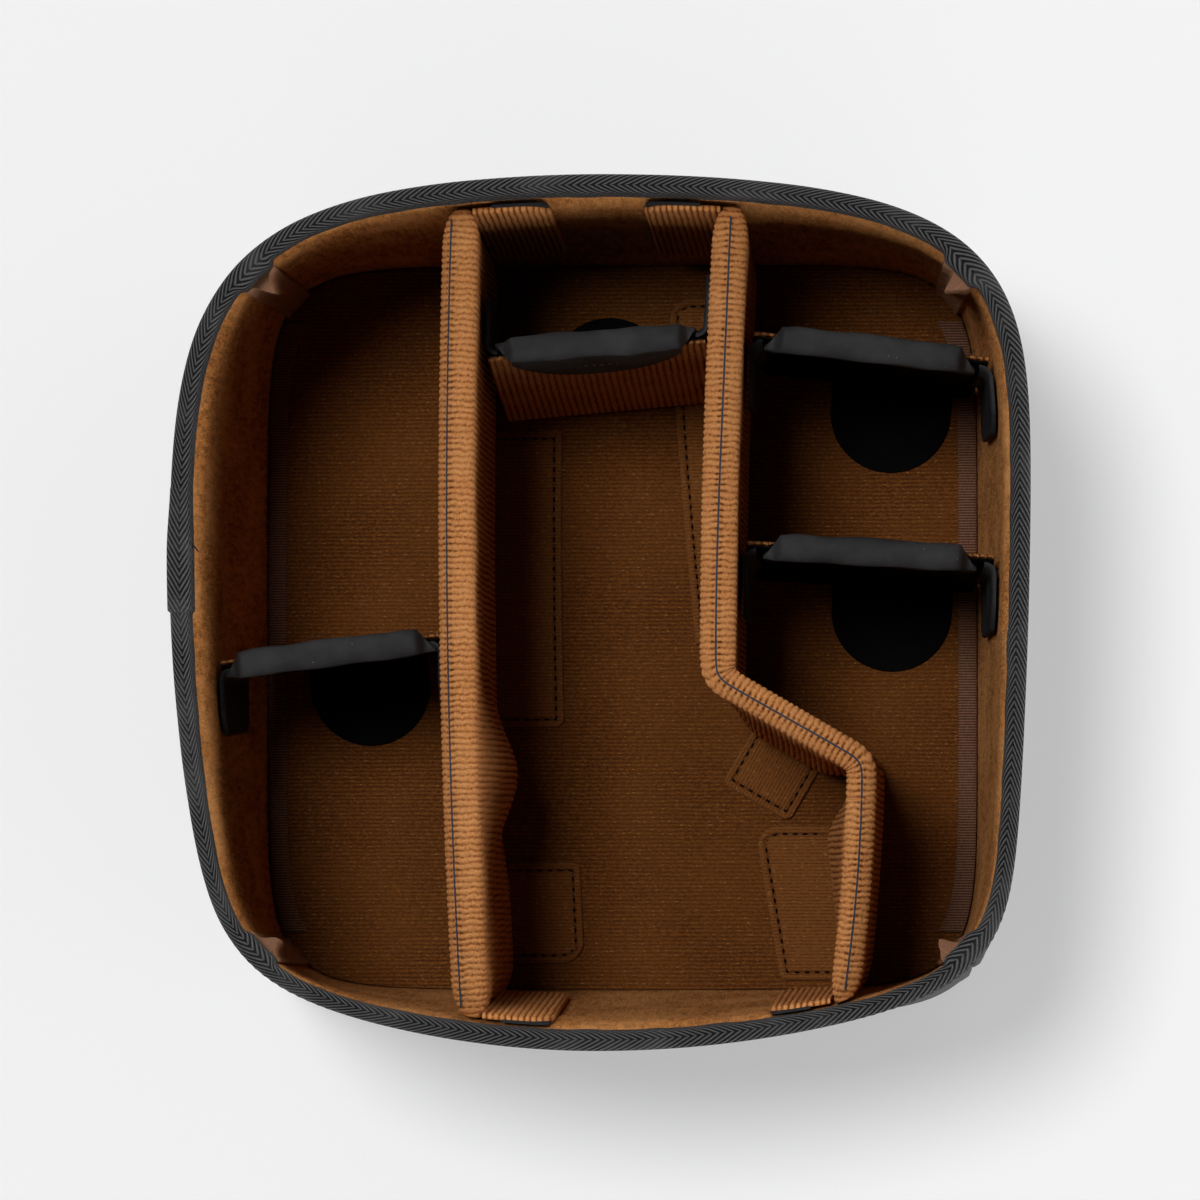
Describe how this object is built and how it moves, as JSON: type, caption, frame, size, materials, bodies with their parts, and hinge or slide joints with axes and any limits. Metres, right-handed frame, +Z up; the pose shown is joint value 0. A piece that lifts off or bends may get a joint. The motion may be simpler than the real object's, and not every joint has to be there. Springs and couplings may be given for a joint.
{
  "type": "camera bag insert",
  "caption": "Open padded tub with a taped rim, split by padded main dividers and small lift-out dividers with folding flaps, tabs and tongues.",
  "frame": {"origin": "middle of the bottom of the whole insert, on the plane it stands on", "axes": "+Z up out of the open top, +Y to the rear wall, +X to the right side; the front is the side with the two folds of the jogged divider"},
  "size_m": [0.2824, 0.286, 0.1409],
  "materials": {
    "coated_skin": "smooth coated cloth, dull sheen",
    "foam": "closed-cell foam board",
    "brushed_lining": "brushed loop cloth",
    "floor_loop": "fine ribbed loop cloth",
    "twill_tape": "herringbone twill tape",
    "brown_tape": "ribbed grosgrain tape",
    "ribbed_cloth": "thick ribbed knit over foam",
    "black_face": "smooth black face cloth, soft sheen"
  },
  "bodies": {
    "tub": {"base_foam": "foam", "base_outer_skin": "coated_skin", "floor_lining": "floor_loop", "front_left_corner_tape": "brown_tape", "front_outer_skin": "coated_skin", "front_right_corner_tape": "brown_tape", "front_wall_foam": "foam", "front_wall_lining": "brushed_lining", "left_floor_tape": "brown_tape", "left_outer_skin": "coated_skin", "left_wall_foam": "foam", "left_wall_lining": "brushed_lining", "rear_left_corner_tape": "brown_tape", "rear_outer_skin": "coated_skin", "rear_right_corner_tape": "brown_tape", "rear_wall_foam": "foam", "rear_wall_lining": "brushed_lining", "right_floor_tape": "brown_tape", "right_outer_skin": "coated_skin", "right_wall_foam": "foam", "right_wall_lining": "brushed_lining", "rim_tape": "twill_tape", "rim_tape_lap": "twill_tape"},
    "left_divider": {"left_divider_panel": "ribbed_cloth"},
    "left_divider_rear_flap_body": {"left_divider_rear_flap": "ribbed_cloth"},
    "left_divider_rear_tab_body": {"left_divider_rear_tab": "ribbed_cloth"},
    "left_divider_front_flap_body": {"left_divider_front_flap": "ribbed_cloth"},
    "left_divider_front_tab_body": {"left_divider_front_tab": "ribbed_cloth"},
    "right_divider": {"right_divider_rear_panel": "ribbed_cloth", "right_divider_rear_tab": "ribbed_cloth"},
    "right_divider_rear_flap_body": {"right_divider_rear_flap": "ribbed_cloth"},
    "right_divider_diagonal": {"right_divider_diagonal_panel": "ribbed_cloth"},
    "right_divider_diagonal_tab_body": {"right_divider_diagonal_tab": "ribbed_cloth"},
    "right_divider_front": {"right_divider_front_panel": "ribbed_cloth"},
    "right_divider_front_flap_body": {"right_divider_front_flap": "ribbed_cloth"},
    "right_divider_front_tab_body": {"right_divider_front_tab": "ribbed_cloth"},
    "centre_rear_divider": {"centre_rear_divider_panel": "ribbed_cloth", "centre_rear_divider_black_face": "black_face", "centre_rear_divider_grip_cover": "black_face"},
    "centre_rear_divider_left_flap_body": {"centre_rear_divider_left_flap": "black_face"},
    "centre_rear_divider_right_flap_body": {"centre_rear_divider_right_flap": "black_face"},
    "centre_rear_divider_tongue_body": {"centre_rear_divider_tongue": "black_face"},
    "right_rear_divider": {"right_rear_divider_panel": "ribbed_cloth", "right_rear_divider_black_face": "black_face", "right_rear_divider_grip_cover": "black_face"},
    "right_rear_divider_left_flap_body": {"right_rear_divider_left_flap": "black_face"},
    "right_rear_divider_right_flap_body": {"right_rear_divider_right_flap": "black_face"},
    "right_rear_divider_tongue_body": {"right_rear_divider_tongue": "black_face"},
    "right_front_divider": {"right_front_divider_panel": "ribbed_cloth", "right_front_divider_black_face": "black_face", "right_front_divider_grip_cover": "black_face"},
    "right_front_divider_left_flap_body": {"right_front_divider_left_flap": "black_face"},
    "right_front_divider_right_flap_body": {"right_front_divider_right_flap": "black_face"},
    "right_front_divider_tongue_body": {"right_front_divider_tongue": "black_face"},
    "left_front_divider": {"left_front_divider_panel": "ribbed_cloth", "left_front_divider_black_face": "black_face", "left_front_divider_grip_cover": "black_face"},
    "left_front_divider_left_flap_body": {"left_front_divider_left_flap": "black_face"},
    "left_front_divider_right_flap_body": {"left_front_divider_right_flap": "black_face"},
    "left_front_divider_tongue_body": {"left_front_divider_tongue": "black_face"}
  },
  "joints": [
    {"name": "left_divider_lift", "type": "slide", "parent": "tub", "child": "left_divider", "axis": [0, 0, 1], "range_m": [0, 0.135]},
    {"name": "left_divider_rear_flap_fold", "type": "hinge", "parent": "left_divider", "child": "left_divider_rear_flap_body", "pos_m": [-0.0385, 0.12856, 0.081], "axis": [0, -0.083, -0.9966], "range_deg": [0, 60]},
    {"name": "left_divider_rear_tab_fold", "type": "hinge", "parent": "left_divider", "child": "left_divider_rear_tab_body", "pos_m": [-0.04131, 0.0164, 0.0091], "axis": [0.0071, -1, 0], "range_deg": [0, 75]},
    {"name": "left_divider_front_flap_fold", "type": "hinge", "parent": "left_divider", "child": "left_divider_front_flap_body", "pos_m": [-0.0351, -0.12832, 0.081], "axis": [0, -0.0794, 0.9968], "range_deg": [0, 60]},
    {"name": "left_divider_front_tab_fold", "type": "hinge", "parent": "left_divider", "child": "left_divider_front_tab_body", "pos_m": [-0.03602, -0.0976, 0.0091], "axis": [0.047, -0.9989, 0], "range_deg": [0, 75]},
    {"name": "right_divider_lift", "type": "slide", "parent": "tub", "child": "right_divider", "axis": [0, 0, 1], "range_m": [0, 0.135]},
    {"name": "right_divider_rear_flap_fold", "type": "hinge", "parent": "right_divider", "child": "right_divider_rear_flap_body", "pos_m": [0.0361, 0.12872, 0.081], "axis": [0, 0.0854, 0.9963], "range_deg": [0, 60]},
    {"name": "right_divider_first_fold", "type": "hinge", "parent": "right_divider", "child": "right_divider_diagonal", "pos_m": [0.0385, -0.021, 0.06815], "axis": [0, 0, 1], "range_deg": [0, 5]},
    {"name": "right_divider_diagonal_tab_fold", "type": "hinge", "parent": "right_divider_diagonal", "child": "right_divider_diagonal_tab_body", "pos_m": [0.05645, -0.04149, 0.0091], "axis": [-0.8628, 0.5056, 0], "range_deg": [0, 75]},
    {"name": "right_divider_second_fold", "type": "hinge", "parent": "right_divider_diagonal", "child": "right_divider_front", "pos_m": [0.0856, -0.0486, 0.06815], "axis": [0, 0, -1], "range_deg": [0, 4.5]},
    {"name": "right_divider_front_flap_fold", "type": "hinge", "parent": "right_divider_front", "child": "right_divider_front_flap_body", "pos_m": [0.07188, -0.1252, 0.081], "axis": [0, 0.045, -0.999], "range_deg": [0, 60]},
    {"name": "right_divider_front_tab_fold", "type": "hinge", "parent": "right_divider_front", "child": "right_divider_front_tab_body", "pos_m": [0.06972, -0.09427, 0.0091], "axis": [-0.085, 0.9964, 0], "range_deg": [0, 75]},
    {"name": "centre_rear_divider_lift", "type": "slide", "parent": "right_divider", "child": "centre_rear_divider", "axis": [0, 0, 1], "range_m": [0, 0.135]},
    {"name": "centre_rear_divider_left_flap_fold", "type": "hinge", "parent": "centre_rear_divider", "child": "centre_rear_divider_left_flap_body", "pos_m": [-0.03907, 0.08527, 0.076], "axis": [-0.0031, -0.1844, -0.9829], "range_deg": [0, 65]},
    {"name": "centre_rear_divider_right_flap_fold", "type": "hinge", "parent": "centre_rear_divider", "child": "centre_rear_divider_right_flap_body", "pos_m": [0.03317, 0.09111, 0.076], "axis": [0.0079, 0.1762, 0.9843], "range_deg": [0, 65]},
    {"name": "centre_rear_divider_tongue_fold", "type": "hinge", "parent": "centre_rear_divider", "child": "centre_rear_divider_tongue_body", "pos_m": [-0.00364, 0.07824, 0.0087], "axis": [0.9961, 0.0887, 0], "range_deg": [0, 65]},
    {"name": "right_rear_divider_lift", "type": "slide", "parent": "tub", "child": "right_rear_divider", "axis": [0, 0, 1], "range_m": [0, 0.135]},
    {"name": "right_rear_divider_left_flap_fold", "type": "hinge", "parent": "right_rear_divider", "child": "right_rear_divider_left_flap_body", "pos_m": [0.04876, 0.0885, 0.076], "axis": [0.0007, 0.016, 0.9999], "range_deg": [0, 65]},
    {"name": "right_rear_divider_right_flap_fold", "type": "hinge", "parent": "right_rear_divider", "child": "right_rear_divider_right_flap_body", "pos_m": [0.1252, 0.07956, 0.076], "axis": [-0.0875, -0.0138, -0.9961], "range_deg": [0, 65]},
    {"name": "right_rear_divider_tongue_fold", "type": "hinge", "parent": "right_rear_divider", "child": "right_rear_divider_tongue_body", "pos_m": [0.09259, 0.07979, 0.0087], "axis": [-0.9922, 0.1243, 0], "range_deg": [0, 75]},
    {"name": "right_front_divider_lift", "type": "slide", "parent": "tub", "child": "right_front_divider", "axis": [0, 0, 1], "range_m": [0, 0.135]},
    {"name": "right_front_divider_left_flap_fold", "type": "hinge", "parent": "right_front_divider", "child": "right_front_divider_left_flap_body", "pos_m": [0.04667, 0.01887, 0.076], "axis": [0.0005, 0.0307, 0.9995], "range_deg": [0, 65]},
    {"name": "right_front_divider_right_flap_fold", "type": "hinge", "parent": "right_front_divider", "child": "right_front_divider_right_flap_body", "pos_m": [0.1262, 0.01418, 0.076], "axis": [-0.0977, -0.0231, -0.9949], "range_deg": [0, 65]},
    {"name": "right_front_divider_tongue_fold", "type": "hinge", "parent": "right_front_divider", "child": "right_front_divider_tongue_body", "pos_m": [0.09241, 0.01206, 0.0087], "axis": [-0.9983, 0.0575, 0], "range_deg": [0, 75]},
    {"name": "left_front_divider_lift", "type": "slide", "parent": "tub", "child": "left_front_divider", "axis": [0, 0, 1], "range_m": [0, 0.135]},
    {"name": "left_front_divider_left_flap_fold", "type": "hinge", "parent": "left_front_divider", "child": "left_front_divider_left_flap_body", "pos_m": [-0.12552, -0.01852, 0.076], "axis": [-0.0806, -0.0546, 0.9952], "range_deg": [0, 65]},
    {"name": "left_front_divider_right_flap_fold", "type": "hinge", "parent": "left_front_divider", "child": "left_front_divider_right_flap_body", "pos_m": [-0.0548, -0.00974, 0.076], "axis": [-0.0007, 0.0432, -0.9991], "range_deg": [0, 65]},
    {"name": "left_front_divider_tongue_fold", "type": "hinge", "parent": "left_front_divider", "child": "left_front_divider_tongue_body", "pos_m": [-0.08696, -0.01297, 0.0087], "axis": [-0.9925, -0.1221, 0], "range_deg": [0, 75]}
  ]
}
